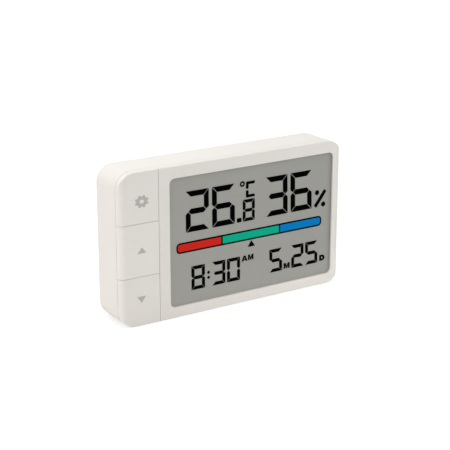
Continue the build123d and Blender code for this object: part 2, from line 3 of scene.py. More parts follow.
import bmesh
import bpy
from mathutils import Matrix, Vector


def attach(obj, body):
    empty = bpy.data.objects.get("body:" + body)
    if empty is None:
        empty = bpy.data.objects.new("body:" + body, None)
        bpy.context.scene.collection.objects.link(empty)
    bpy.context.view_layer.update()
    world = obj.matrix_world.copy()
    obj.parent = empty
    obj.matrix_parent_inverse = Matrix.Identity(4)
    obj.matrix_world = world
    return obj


# Looks of a slim thermometer, hygrometer and clock. Sizes in the dictionaries are
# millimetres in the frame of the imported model; the meshes are in metres.

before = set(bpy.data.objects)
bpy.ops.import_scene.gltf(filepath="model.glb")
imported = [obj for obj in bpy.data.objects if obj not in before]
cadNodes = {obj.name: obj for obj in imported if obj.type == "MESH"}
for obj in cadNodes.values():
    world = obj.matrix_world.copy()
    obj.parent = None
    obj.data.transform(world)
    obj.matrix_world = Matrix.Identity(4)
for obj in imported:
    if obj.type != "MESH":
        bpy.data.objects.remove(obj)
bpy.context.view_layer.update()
mm = 0.001
white = (1.0, 1.0, 1.0, 1.0)
print("frame loaded:", len(cadNodes), "nodes")


# Helpers for node trees

def feed(tree, socket, value):
    if isinstance(value, bpy.types.NodeSocket):
        tree.links.new(value, socket)
    else:
        socket.default_value = value


def addNode(tree, kind, inputs=None, **settings):
    node = tree.nodes.new(kind)
    for name, value in settings.items():
        setattr(node, name, value)
    for socket, value in (inputs or {}).items():
        feed(tree, node.inputs[socket], value)
    return node


def calc(tree, operation, *values):
    return addNode(tree, "ShaderNodeMath", dict(enumerate(values)), operation=operation).outputs[0]


def vector(tree, *axes):
    return addNode(tree, "ShaderNodeCombineXYZ", dict(enumerate(axes))).outputs[0]


def axesOf(tree, place):
    return addNode(tree, "ShaderNodeSeparateXYZ", {0: place}).outputs


def scaleVector(tree, value, factor):
    node = addNode(tree, "ShaderNodeVectorMath", {0: value, "Scale": factor}, operation="SCALE")
    return node.outputs[0]


def mixColours(tree, factor, first, second):
    # inputs 6 and 7 and output 2 of this node are its colours
    node = addNode(tree, "ShaderNodeMix", {"Factor": factor, 6: first, 7: second}, data_type="RGBA")
    return node.outputs[2]


def objectPlace(tree):
    return addNode(tree, "ShaderNodeTexCoord").outputs["Object"]


def noise(tree, place, scale, detail):
    node = addNode(tree, "ShaderNodeTexNoise", {"Vector": place, "Scale": scale, "Detail": detail})
    return node.outputs[0]


def colour(red, green, blue):
    # screen levels 0-255 to the linear colour that the shaders take
    def linear(level):
        share = level / 255
        return share / 12.92 if share <= 0.04045 else ((share + 0.055) / 1.055) ** 2.4
    return (linear(red), linear(green), linear(blue), 1.0)


def shaderGroup(name, inputs, outputs):
    tree = bpy.data.node_groups.new(name, "ShaderNodeTree")
    for label, (kind, value) in inputs.items():
        socket = tree.interface.new_socket(label, in_out="INPUT", socket_type="NodeSocket" + kind)
        socket.default_value = value
    for label, kind in outputs.items():
        tree.interface.new_socket(label, in_out="OUTPUT", socket_type="NodeSocket" + kind)
    return tree, addNode(tree, "NodeGroupInput").outputs, addNode(tree, "NodeGroupOutput").inputs


# Moulded or pressed surface: slow mottling of colour and gloss, and a fine grain for the bump
grainGroup, given, result = shaderGroup(
    "mouldGrain",
    {
        "Colour": ("Color", (0.8, 0.8, 0.8, 1.0)),
        "Mottle": ("Float", 0.04),
        "Grain Scale": ("Float", 2500.0),
        "Cloud Scale": ("Float", 90.0),
        "Roughness": ("Float", 0.5),
        "Gloss Spread": ("Float", 0.08),
    },
    {"Colour": "Color", "Roughness": "Float", "Height": "Float"},
)
place = objectPlace(grainGroup)
fine = noise(grainGroup, place, given["Grain Scale"], 3.0)
cloud = noise(grainGroup, place, given["Cloud Scale"], 4.0)
swing = calc(grainGroup, "SUBTRACT", cloud, 0.5)
bright = calc(grainGroup, "MULTIPLY_ADD", swing, given["Mottle"], 1.0)
bright = calc(grainGroup, "MULTIPLY_ADD", calc(grainGroup, "SUBTRACT", fine, 0.5),
              calc(grainGroup, "MULTIPLY", given["Mottle"], 0.5), bright)
feed(grainGroup, result["Colour"], scaleVector(grainGroup, given["Colour"], bright))
gloss = calc(grainGroup, "MULTIPLY_ADD", swing, given["Gloss Spread"], given["Roughness"])
feed(grainGroup, result["Roughness"], gloss)
feed(grainGroup, result["Height"], fine)

# Painted edge highlight: a mask that follows the sharp outer edges and breaks up along them, where the
# colour is made lighter
edgeHighlightGroup, given, result = shaderGroup(
    "paintedEdgeHighlight",
    {
        "Colour": ("Color", (0.8, 0.8, 0.8, 1.0)),
        "Highlight Colour": ("Color", (0.9, 0.9, 0.9, 1.0)),
        "Start": ("Float", 0.53),
        "Steepness": ("Float", 12.0),
        "Strength": ("Float", 0.4),
        "Patch Scale": ("Float", 400.0),
    },
    {"Colour": "Color", "Mask": "Float"},
)
point = addNode(edgeHighlightGroup, "ShaderNodeNewGeometry").outputs["Pointiness"]
patches = noise(edgeHighlightGroup, objectPlace(edgeHighlightGroup), given["Patch Scale"], 2.0)
edge = calc(edgeHighlightGroup, "MULTIPLY", calc(edgeHighlightGroup, "SUBTRACT", point, given["Start"]), given["Steepness"])
edge = calc(edgeHighlightGroup, "MINIMUM", calc(edgeHighlightGroup, "MAXIMUM", edge, 0.0), 1.0)
mask = calc(edgeHighlightGroup, "MULTIPLY", calc(edgeHighlightGroup, "MULTIPLY", edge, patches), given["Strength"])
feed(edgeHighlightGroup, result["Colour"], mixColours(edgeHighlightGroup, mask, given["Colour"], given["Highlight Colour"]))
feed(edgeHighlightGroup, result["Mask"], mask)

# Rolled or drawn metal: long thin streaks along one direction
streakGroup, given, result = shaderGroup(
    "rolledStreaks",
    {
        "Colour": ("Color", (0.7, 0.7, 0.7, 1.0)),
        "Mottle": ("Float", 0.3),
        "Along": ("Vector", (60.0, 2500.0, 2500.0)),
        "Roughness": ("Float", 0.3),
        "Spread": ("Float", 0.15),
    },
    {"Colour": "Color", "Roughness": "Float", "Height": "Float"},
)
stretch = addNode(streakGroup, "ShaderNodeVectorMath", {
    0: objectPlace(streakGroup), 1: given["Along"],
}, operation="MULTIPLY")
streaks = noise(streakGroup, stretch.outputs[0], 1.0, 5.0)
swing = calc(streakGroup, "SUBTRACT", streaks, 0.5)
bright = calc(streakGroup, "MULTIPLY_ADD", swing, given["Mottle"], 1.0)
feed(streakGroup, result["Colour"], scaleVector(streakGroup, given["Colour"], bright))
gloss = calc(streakGroup, "MULTIPLY_ADD", swing, given["Spread"], given["Roughness"])
feed(streakGroup, result["Roughness"], gloss)
feed(streakGroup, result["Height"], streaks)
print("shader groups ready")


def newMaterial(name, **sockets):
    material = bpy.data.materials.new(name)
    material.use_nodes = True
    tree = material.node_tree
    shader = tree.nodes["Principled BSDF"]
    for label, value in sockets.items():
        feed(tree, shader.inputs[label], value)
    return material, tree, shader


def placeGroup(tree, group, values):
    return addNode(tree, "ShaderNodeGroup", values, node_tree=group).outputs


def dress(tree, shader, paint, gloss, height=None, bump=None):
    # bump: its strength, and its depth in metres
    feed(tree, shader.inputs["Base Color"], paint)
    feed(tree, shader.inputs["Roughness"], gloss)
    if bump:
        strength, depth = bump
        relief = addNode(tree, "ShaderNodeBump", {"Strength": strength, "Distance": depth, "Height": height})
        feed(tree, shader.inputs["Normal"], relief.outputs[0])


# Moulded plastics
plasticLooks = {
    "case_plastic": dict(paint=colour(232, 227, 220), roughness=0.42, grain=2600.0,
                         mottle=0.035, bump=(0.35, 0.00002), edgeHighlight=0.25),
    "button_plastic": dict(paint=colour(235, 230, 223), roughness=0.40, grain=2600.0,
                           mottle=0.035, bump=(0.30, 0.00002), edgeHighlight=0.25),
    "inner_plastic": dict(paint=colour(196, 194, 190), roughness=0.55, grain=1800.0,
                          mottle=0.10, bump=(0.4, 0.00003), edgeHighlight=0.2),
    "resin": dict(paint=colour(22, 22, 24), roughness=0.32, grain=900.0,
                  mottle=0.5, bump=(0.5, 0.00006), edgeHighlight=0.1),
    "chip_case": dict(paint=colour(34, 34, 37), roughness=0.5, grain=5000.0,
                      mottle=0.5, bump=(0.5, 0.00001), edgeHighlight=0.3),
    "strip_rubber": dict(paint=colour(206, 200, 196), roughness=0.7, grain=1500.0,
                         mottle=0.2, bump=(0.4, 0.00003), edgeHighlight=0.1),
    "foam": dict(paint=colour(48, 48, 50), roughness=0.95, grain=1300.0,
                 mottle=0.9, bump=(1.0, 0.00015), edgeHighlight=0.0),
    "capacitor_ceramic": dict(paint=colour(150, 116, 84), roughness=0.5, grain=4000.0,
                              mottle=0.4, bump=(0.3, 0.00001), edgeHighlight=0.2),
}
# how much lighter the paint is in the painted edge highlight
highlightGain = 1.25


def makePlastic(name, look):
    material, tree, shader = newMaterial(name + "Look")
    grain = placeGroup(tree, grainGroup, {
        "Colour": look["paint"], "Mottle": look["mottle"], "Grain Scale": look["grain"],
        "Roughness": look["roughness"], "Gloss Spread": 0.1,
    })
    # painted highlight: a lighter copy of the paint, laid along the sharp edges
    lighter = tuple(min(1.0, part * highlightGain) for part in look["paint"][:3]) + (1.0,)
    highlighted = placeGroup(tree, edgeHighlightGroup, {
        "Colour": grain["Colour"], "Highlight Colour": lighter, "Strength": look["edgeHighlight"],
    })
    dress(tree, shader, highlighted["Colour"], grain["Roughness"], grain["Height"], look["bump"])
    return material


looks = {name: makePlastic(name, look) for name, look in plasticLooks.items()}

metalLooks = {
    "plated_steel": dict(paint=colour(206, 204, 198), roughness=0.26, along=(2500.0, 2500.0, 80.0)),
    "screw_steel": dict(paint=colour(178, 178, 182), roughness=0.32, along=(1800.0, 150.0, 1800.0)),
    "cell_can": dict(paint=colour(200, 200, 203), roughness=0.24, along=(60.0, 2200.0, 2200.0)),
    "solder": dict(paint=colour(202, 204, 208), roughness=0.2, along=(900.0, 900.0, 900.0)),
}
metalBump = (0.3, 0.00001)


def makeMetal(name, look):
    material, tree, shader = newMaterial(name + "Look", Metallic=1.0)
    streak = placeGroup(tree, streakGroup, {
        "Colour": look["paint"], "Along": look["along"], "Roughness": look["roughness"],
    })
    dress(tree, shader, streak["Colour"], streak["Roughness"], streak["Height"], metalBump)
    return material


looks.update((name, makeMetal(name, look)) for name, look in metalLooks.items())

# Display ground: grey film with painted shade, darker where the edges of the window shade it.
# Each shade runs from a distance inside the window to the edge itself.
filmLook = {"paint": colour(162, 161, 154), "bump": (0.15, 0.000005), "shades": (
    # painted shade over the whole window, darker towards the right
    dict(axis="X", start=-26.83, edge=42.85, amount=0.09, power=1.0),
    dict(axis="X", start=40.5, edge=42.85, amount=0.30, power=1.6),
    dict(axis="X", start=-26.1, edge=-26.83, amount=0.14, power=1.2),
    dict(axis="Z", start=48.9, edge=50.64, amount=0.26, power=2.2),
)}


def makeFilm():
    material, tree, shader = newMaterial("displayFilmLook")
    grain = placeGroup(tree, grainGroup, {
        "Colour": filmLook["paint"], "Mottle": 0.05, "Grain Scale": 6000.0,
        "Cloud Scale": 40.0, "Roughness": 0.42, "Gloss Spread": 0.05,
    })
    axes = axesOf(tree, objectPlace(tree))
    keep = 1.0
    for row in filmLook["shades"]:
        span = addNode(tree, "ShaderNodeMapRange", {
            "Value": axes[row["axis"]], "From Min": row["start"] * mm, "From Max": row["edge"] * mm,
        }, clamp=True)
        # painted shade: each row darkens the film's colour towards its edge
        dark = calc(tree, "MULTIPLY", calc(tree, "POWER", span.outputs[0], row["power"]), row["amount"])
        keep = calc(tree, "MULTIPLY", keep, calc(tree, "SUBTRACT", 1.0, dark))
    shaded = scaleVector(tree, grain["Colour"], keep)
    dress(tree, shader, shaded, grain["Roughness"], grain["Height"], filmLook["bump"])
    return material


looks["display_film"] = makeFilm()


# Liquid crystal glass: clear, faintly green at its edges
def makeGlass():
    material, tree, shader = newMaterial("displayGlassLook", IOR=1.52, **{"Transmission Weight": 1.0})
    grain = placeGroup(tree, grainGroup, {
        "Colour": colour(226, 238, 232), "Mottle": 0.04, "Grain Scale": 700.0,
        "Roughness": 0.03, "Gloss Spread": 0.03,
    })
    dress(tree, shader, grain["Colour"], grain["Roughness"])
    return material


looks["display_glass"] = makeGlass()

# Board: green solder mask that lets the glass weave below it show faintly
boardLook = {"mask": colour(28, 98, 62), "weave": colour(56, 134, 86), "weaveScale": 520.0,
             "weaveShare": 0.3, "bump": (0.3, 0.00001)}


def makeBoard():
    material, tree, shader = newMaterial("boardLook")
    grain = placeGroup(tree, grainGroup, {
        "Colour": boardLook["mask"], "Mottle": 0.25, "Grain Scale": 2200.0,
        "Roughness": 0.34, "Gloss Spread": 0.12,
    })
    spot = objectPlace(tree)
    threads = []
    for direction in ("X", "Z"):
        wave = addNode(tree, "ShaderNodeTexWave", {
            "Vector": spot, "Scale": boardLook["weaveScale"], "Distortion": 1.5,
        }, bands_direction=direction)
        threads.append(wave.outputs["Fac"])
    weave = calc(tree, "MULTIPLY", *threads)
    share = calc(tree, "MULTIPLY", weave, boardLook["weaveShare"])
    paint = mixColours(tree, share, grain["Colour"], boardLook["weave"])
    dress(tree, shader, paint, grain["Roughness"], weave, boardLook["bump"])
    return material


looks["board_laminate"] = makeBoard()

# Cell sleeves: plain shrink wrap, pale grey with a green band round the end of each cell.
# splitZ lies between the two cells.
sleeveLook = {"wrap": colour(214, 216, 218), "band": colour(38, 120, 92), "bandFrom": 7.0, "splitZ": 40.0,
              "bump": (0.25, 0.00001)}


def makeSleeve():
    material, tree, shader = newMaterial("cellSleeveLook", **{"Coat Weight": 0.4, "Coat Roughness": 0.1})
    grain = placeGroup(tree, grainGroup, {
        "Colour": sleeveLook["wrap"], "Mottle": 0.12, "Grain Scale": 800.0,
        "Roughness": 0.28, "Gloss Spread": 0.1,
    })
    axes = axesOf(tree, objectPlace(tree))
    # the upper cell points left and the lower one right, so the band changes ends between them
    upper = calc(tree, "GREATER_THAN", axes["Z"], sleeveLook["splitZ"] * mm)
    facing = calc(tree, "MULTIPLY_ADD", upper, -2.0, 1.0)
    along = calc(tree, "MULTIPLY", axes["X"], facing)
    band = calc(tree, "GREATER_THAN", along, sleeveLook["bandFrom"] * mm)
    paint = mixColours(tree, band, grain["Colour"], sleeveLook["band"])
    dress(tree, shader, paint, grain["Roughness"], grain["Height"], sleeveLook["bump"])
    return material


looks["cell_sleeve"] = makeSleeve()

# Inks: the dark image of the display, its colour bar and the grey print on the buttons
inkLooks = {
    "readoutInk": dict(paint=colour(5, 5, 6), roughness=0.6, shine=0.0),
    "barRed": dict(paint=colour(211, 41, 31), roughness=0.45),
    "barGreen": dict(paint=colour(10, 177, 141), roughness=0.45),
    "barBlue": dict(paint=colour(2, 126, 196), roughness=0.45),
    "buttonInk": dict(paint=colour(187, 185, 181), roughness=0.5, shine=0.4),
    "maskedCopper": dict(paint=colour(64, 150, 96), roughness=0.35, shine=0.5),
}
inkBump = (0.1, 0.000004)
dullShine = 0.03


def makeInk(name, look):
    material, tree, shader = newMaterial(name, **{"Specular IOR Level": look.get("shine", dullShine)})
    grain = placeGroup(tree, grainGroup, {
        "Colour": look["paint"], "Mottle": 0.08, "Grain Scale": 3500.0, "Cloud Scale": 120.0,
        "Roughness": look["roughness"], "Gloss Spread": 0.06,
    })
    dress(tree, shader, grain["Colour"], grain["Roughness"], grain["Height"], inkBump)
    return material


inks = {name: makeInk(name, look) for name, look in inkLooks.items()}
print("materials ready:", len(looks) + len(inks))

for node in cadNodes.values():
    slotName = node.material_slots[0].material.name.split(".")[0]
    node.material_slots[0].material = looks[slotName]
print("materials on all nodes")


# Helpers for added pieces

def metres(values):
    return tuple(value * mm for value in values)


def addObject(name, data):
    made = bpy.data.objects.new(name, data)
    bpy.context.scene.collection.objects.link(made)
    return made


def finishPiece(name, mesh, body):
    piece = addObject(name, mesh)
    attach(piece, body)


def plainMesh(name, host):
    # the evaluated shape of an object as a plain mesh, in place of the object
    depsgraph = bpy.context.evaluated_depsgraph_get()
    mesh = bpy.data.meshes.new_from_object(host.evaluated_get(depsgraph), depsgraph=depsgraph)
    mesh.name = name
    host.modifiers.clear()
    bpy.data.objects.remove(host)
    return mesh


def closeShape(shape, mesh, ink):
    bmesh.ops.recalc_face_normals(shape, faces=shape.faces)
    shape.to_mesh(mesh)
    shape.free()
    mesh.materials.clear()
    mesh.materials.append(ink)


def geometryTree(name, inputs):
    tree = bpy.data.node_groups.new(name, "GeometryNodeTree")
    tree.interface.new_socket("Geometry", in_out="INPUT", socket_type="NodeSocketGeometry")
    for label, kind in inputs.items():
        tree.interface.new_socket(label, in_out="INPUT", socket_type="NodeSocket" + kind)
    tree.interface.new_socket("Geometry", in_out="OUTPUT", socket_type="NodeSocketGeometry")
    return tree, addNode(tree, "NodeGroupInput").outputs, addNode(tree, "NodeGroupOutput").inputs


def join(tree, *pieces):
    node = addNode(tree, "GeometryNodeJoinGeometry")
    for piece in pieces:
        tree.links.new(piece, node.inputs[0])
    return node.outputs[0]


weldDistance = 0.000001    # metres


def thicken(tree, sheet, thickness):
    # the raised copy of a flat sheet, closed underneath by the sheet turned over
    raised = addNode(tree, "GeometryNodeExtrudeMesh", {
        "Mesh": sheet, "Offset Scale": thickness, "Individual": False,
    })
    under = addNode(tree, "GeometryNodeFlipFaces", {0: sheet})
    whole = join(tree, raised.outputs[0], under.outputs[0])
    welded = addNode(tree, "GeometryNodeMergeByDistance", {0: whole, "Distance": weldDistance})
    return welded.outputs[0]


def sizedCopies(tree, points, instance):
    # one copy on each point, as large as the point's "size" attribute says
    size = addNode(tree, "GeometryNodeInputNamedAttribute", {"Name": "size"}, data_type="FLOAT_VECTOR")
    copies = addNode(tree, "GeometryNodeInstanceOnPoints", {
        "Points": points, "Instance": instance, "Scale": size.outputs[0],
    })
    return copies.outputs[0]


def endTree(tree, given, result, geometry):
    real = addNode(tree, "GeometryNodeRealizeInstances", {0: geometry})
    inked = addNode(tree, "GeometryNodeSetMaterial", {"Geometry": real.outputs[0], "Material": given["Ink"]})
    feed(tree, result["Geometry"], inked.outputs[0])


def seedMesh(name, points=(), edges=(), sizes=None):
    mesh = bpy.data.meshes.new(name + "Seed")
    mesh.from_pydata(points, edges, [])
    if sizes:
        mesh.attributes.new("size", "FLOAT_VECTOR", "POINT").data.foreach_set("vector", sizes)
    return mesh


def grow(name, tree, values, body, seed=None):
    # runs a tree on a host object made of the seed and keeps the result as a plain mesh
    host = addObject(name + "Host", seed or seedMesh(name))
    modifier = host.modifiers.new("growth", "NODES")
    modifier.node_group = tree
    for item in tree.interface.items_tree:
        if item.item_type == "SOCKET" and item.in_out == "INPUT" and item.name in values:
            modifier[item.identifier] = values[item.name]
    finishPiece(name, plainMesh(name, host), body)


# One lit segment for each point: the integer attribute "segment" says which of the seven
segmentTree, given, result = geometryTree("segmentDigits", {
    "Width": "Float", "Height": "Float", "Stroke": "Float", "Gap": "Float",
    "Trim": "Float", "Lean": "Float", "Thickness": "Float", "Ink": "Material",
})
halfWidth = calc(segmentTree, "MULTIPLY", given["Width"], 0.5)
halfHeight = calc(segmentTree, "MULTIPLY", given["Height"], 0.5)
halfStroke = calc(segmentTree, "MULTIPLY", given["Stroke"], 0.5)
quarterHeight = calc(segmentTree, "MULTIPLY", given["Height"], 0.25)
sideX = calc(segmentTree, "SUBTRACT", halfWidth, halfStroke)
topZ = calc(segmentTree, "SUBTRACT", halfHeight, halfStroke)
doubleGap = calc(segmentTree, "MULTIPLY", given["Gap"], 2.0)
barLength = calc(segmentTree, "SUBTRACT", given["Width"], doubleGap)
postLength = calc(segmentTree, "SUBTRACT", halfHeight, calc(segmentTree, "MULTIPLY", given["Gap"], 1.5))
middleLength = calc(segmentTree, "SUBTRACT", barLength, given["Stroke"])
local = axesOf(segmentTree, addNode(segmentTree, "GeometryNodeInputPosition").outputs[0])
localSign = calc(segmentTree, "SIGN", local["X"])
mitreEnd = calc(segmentTree, "SUBTRACT", halfStroke, local["Z"])
pointedEnd = calc(segmentTree, "ABSOLUTE", local["Z"])
outerTrim = calc(segmentTree, "MULTIPLY", calc(segmentTree, "MAXIMUM", local["Z"], 0.0), given["Trim"])
beakEnd = calc(segmentTree, "SUBTRACT", pointedEnd, outerTrim)
leanShift = calc(segmentTree, "MULTIPLY", local["Z"], given["Lean"])
which = addNode(segmentTree, "GeometryNodeInputNamedAttribute", {"Name": "segment"}, data_type="INT")
lit = []

# x and z as signs, turn about Y, length, and how far its two ends draw in
segmentRows = [
    (0, 1, 0.0, barLength, mitreEnd, mitreEnd),               # a, top
    (1, 1, math.pi / 2, postLength, mitreEnd, beakEnd),       # b, upper right
    (1, -1, math.pi / 2, postLength, beakEnd, mitreEnd),      # c, lower right
    (0, -1, math.pi, barLength, mitreEnd, mitreEnd),          # d, bottom
    (-1, -1, -math.pi / 2, postLength, mitreEnd, beakEnd),    # e, lower left
    (-1, 1, -math.pi / 2, postLength, beakEnd, mitreEnd),     # f, upper left
    (0, 0, 0.0, middleLength, pointedEnd, pointedEnd),        # g, middle
]
for index, (signX, signZ, turn, length, lowEnd, highEnd) in enumerate(segmentRows):
    bar = addNode(segmentTree, "GeometryNodeMeshCube", {
        "Size": vector(segmentTree, length, given["Thickness"], given["Stroke"]), "Vertices Z": 3,
    })
    atLow = calc(segmentTree, "LESS_THAN", localSign, 0.0)
    atHigh = calc(segmentTree, "GREATER_THAN", localSign, 0.0)
    shift = calc(segmentTree, "SUBTRACT", calc(segmentTree, "MULTIPLY", atLow, lowEnd),
                 calc(segmentTree, "MULTIPLY", atHigh, highEnd))
    mitre = addNode(segmentTree, "GeometryNodeSetPosition", {
        "Geometry": bar.outputs["Mesh"], "Offset": vector(segmentTree, shift),
    })
    upZ = topZ if signX == 0 else quarterHeight
    centre = vector(segmentTree, calc(segmentTree, "MULTIPLY", sideX, float(signX)), 0.0,
                    calc(segmentTree, "MULTIPLY", upZ, float(signZ)))
    put = addNode(segmentTree, "GeometryNodeTransform", {
        "Geometry": mitre.outputs[0], "Translation": centre, "Rotation": (0.0, turn, 0.0),
    })
    leaned = addNode(segmentTree, "GeometryNodeSetPosition", {
        "Geometry": put.outputs[0], "Offset": vector(segmentTree, leanShift),
    })
    same = addNode(segmentTree, "FunctionNodeCompare", {
        2: which.outputs[0], 3: index,
    }, data_type="INT", operation="EQUAL")
    copies = addNode(segmentTree, "GeometryNodeInstanceOnPoints", {
        "Points": given["Geometry"], "Selection": same.outputs[0], "Instance": leaned.outputs[0],
    })
    lit.append(copies.outputs[0])
endTree(segmentTree, given, result, join(segmentTree, *lit))

litSegments = {"0": "abcdef", "2": "abged", "3": "abgcd", "5": "afgcd", "6": "afgedc",
               "8": "abcdefg"}

# the sheets of ink: y of the surface below each, and its thickness
imageSettings = {"faceY": -7.4, "thickness": 0.04}
iconSettings = {"faceY": -8.05, "thickness": 0.02}

# left edge of each glyph, the row's bottom, and how far its tops shift to the right per height
digitRows = {
    "temperature_digits": dict(width=9.46, height=14.74, stroke=2.0, gap=0.165, trim=0.18, lean=-0.009,
                               bottom=30.28, glyphs=[("2", -20.09), ("6", -9.32)]),
    "humidity_digits": dict(width=9.46, height=14.74, stroke=2.02, gap=0.165, trim=0.18, lean=-0.025,
                            bottom=30.36, glyphs=[("3", 13.5), ("6", 24.3)]),
    "decimal_digit": dict(width=5.13, height=8.07, stroke=1.22, gap=0.14, trim=0.5, lean=-0.004,
                          bottom=30.31, glyphs=[("8", 3.53)]),
    "clock_digits": dict(width=5.58, height=8.82, stroke=1.28, gap=0.085, trim=0.15, lean=-0.005,
                         bottom=8.71, glyphs=[("8", -17.97), ("3", -9.4), ("0", -3.11)]),
    "date_digits": dict(width=5.58, height=8.82, stroke=1.29, gap=0.085, trim=0.15, lean=-0.024,
                        bottom=8.78, glyphs=[("5", 15.31), ("2", 25.06), ("5", 31.38)]),
}


def digitSeed(name, row):
    points, kinds = [], []
    middleY = imageSettings["faceY"] - imageSettings["thickness"] / 2
    for glyph, leftEdge in row["glyphs"]:
        centre = metres((leftEdge + row["width"] / 2, middleY, row["bottom"] + row["height"] / 2))
        for letter in litSegments[glyph]:
            points.append(centre)
            kinds.append("abcdefg".index(letter))
    mesh = seedMesh(name, points)
    mesh.attributes.new("segment", "INT", "POINT").data.foreach_set("value", kinds)
    return mesh


for name, row in digitRows.items():
    grow(name, segmentTree, {
        "Width": row["width"] * mm, "Height": row["height"] * mm, "Stroke": row["stroke"] * mm,
        "Gap": row["gap"] * mm, "Trim": row["trim"], "Lean": row["lean"],
        "Thickness": imageSettings["thickness"] * mm, "Ink": inks["readoutInk"],
    }, "case", digitSeed(name, row))
print("digits made")


# Flat plates of ink, each from its outline as the reader sees it, going round anticlockwise
def inkPlates(name, outlines, sheet, ink, body):
    shape = bmesh.new()
    for outline in outlines:
        front, back = ([shape.verts.new(metres((x, y, z))) for x, z in outline]
                       for y in (sheet["faceY"] - sheet["thickness"], sheet["faceY"]))
        shape.faces.new(front)
        shape.faces.new(back[::-1])
        for index in range(len(front)):
            following = (index + 1) % len(front)
            shape.faces.new((front[index], back[index], back[following], front[following]))
    mesh = bpy.data.meshes.new(name)
    closeShape(shape, mesh, inks[ink])
    finishPiece(name, mesh, body)


def readoutPlates(name, outlines):
    inkPlates(name, outlines, imageSettings, "readoutInk", "case")


def disc(x, z, radius, sides=20):
    turn = 2 * math.pi / sides
    return [(x + radius * math.cos(step * turn), z + radius * math.sin(step * turn))
            for step in range(sides)]


def roundedBox(x0, z0, x1, z1, radius, sides=5, corners=(1, 1, 1, 1)):
    # corners: lower right, upper right, upper left, lower left
    centres = ((x1, z0, -90), (x1, z1, 0), (x0, z1, 90), (x0, z0, 180))
    outline = []
    for (x, z, start), rounded in zip(centres, corners):
        size = radius if rounded else 0.0
        inX = x - size if x == x1 else x + size
        inZ = z - size if z == z1 else z + size
        for step in range(sides if rounded else 1):
            angle = math.radians(start + 90 * step / max(1, sides - 1))
            outline.append((inX + size * math.cos(angle), inZ + size * math.sin(angle)))
    return outline


def stroke(x0, z0, x1, z1, width):
    along = Vector((x1 - x0, z1 - z0)).normalized() * width / 2
    return [(x0 + along.y, z0 - along.x), (x1 + along.y, z1 - along.x),
            (x1 - along.y, z1 + along.x), (x0 - along.y, z0 + along.x)]


markSettings = {
    "point": (1.01, 30.33, 3.01, 31.97), "pointRound": 0.38,
    "colon": (-10.88, (12.17, 14.07), 0.57),
    "percentDots": ((36.27, 35.97), (39.23, 31.2)), "percentDot": 0.96,
    "percentSlash": (35.48, 30.67, 40.04, 36.42), "percentWidth": 1.45,
    "pointer": ((5.7, 20.48), (8.86, 20.48), (7.28, 22.84)),
}
colonX, colonHeights, colonRadius = markSettings["colon"]
marks = [roundedBox(*markSettings["point"], markSettings["pointRound"])]
marks += [disc(colonX, z, colonRadius) for z in colonHeights]
marks += [disc(x, z, markSettings["percentDot"]) for x, z in markSettings["percentDots"]]
marks.append(stroke(*markSettings["percentSlash"], markSettings["percentWidth"]))
marks.append(markSettings["pointer"])
readoutPlates("readout_marks", marks)

# The letter of the unit: two angles of ink with blunt ends
degreeLetter = [
    [(4.84, 42.4), (5.36, 42.14), (5.98, 42.48), (5.98, 43.84), (8.44, 43.84), (8.8, 44.88), (5.1, 44.88),
     (4.84, 44.62)],
    [(4.84, 39.28), (5.1, 39.02), (8.72, 39.02), (8.44, 40.06), (5.98, 40.06), (5.98, 41.42), (5.36, 41.76),
     (4.84, 41.5)],
]
readoutPlates("degree_letter", degreeLetter)

# The degree ring and the gear are plates with a hole: outline and hole share one filled sheet
ringTree, given, result = geometryTree("toothedRing", {
    "Outer": "Float", "Root": "Float", "Hole": "Float", "Teeth": "Int", "Steps": "Int",
    "Tooth Share": "Float", "Stretch": "Float", "Thickness": "Float", "Centre": "Vector",
    "Ink": "Material",
})
pointCount = calc(ringTree, "MULTIPLY", given["Teeth"], given["Steps"])
rim = addNode(ringTree, "GeometryNodeMeshCircle", {"Vertices": pointCount, "Radius": 1.0})
orderShare = calc(ringTree, "DIVIDE", addNode(ringTree, "GeometryNodeInputIndex").outputs[0], given["Steps"])
toothPlace = calc(ringTree, "SUBTRACT", calc(ringTree, "FRACT", orderShare), 0.5)
onTooth = calc(ringTree, "LESS_THAN", calc(ringTree, "ABSOLUTE", toothPlace),
               calc(ringTree, "MULTIPLY", given["Tooth Share"], 0.5))
reach = calc(ringTree, "MULTIPLY_ADD", onTooth,
             calc(ringTree, "SUBTRACT", given["Outer"], given["Root"]), given["Root"])
spot = addNode(ringTree, "GeometryNodeInputPosition").outputs[0]
shaped = addNode(ringTree, "GeometryNodeSetPosition", {
    "Geometry": rim.outputs[0], "Position": scaleVector(ringTree, spot, reach),
})
rimCurve = addNode(ringTree, "GeometryNodeMeshToCurve", {0: shaped.outputs[0]})
holeCurve = addNode(ringTree, "GeometryNodeCurvePrimitiveCircle", {
    "Resolution": 32, "Radius": given["Hole"],
})
both = join(ringTree, rimCurve.outputs[0], holeCurve.outputs[0])
filled = addNode(ringTree, "GeometryNodeFillCurve", {0: both})
stood = addNode(ringTree, "GeometryNodeTransform", {
    "Geometry": thicken(ringTree, filled.outputs[0], given["Thickness"]), "Translation": given["Centre"],
    "Rotation": (math.pi / 2, 0.0, 0.0), "Scale": vector(ringTree, given["Stretch"], 1.0, 1.0),
})
endTree(ringTree, given, result, stood.outputs[0])

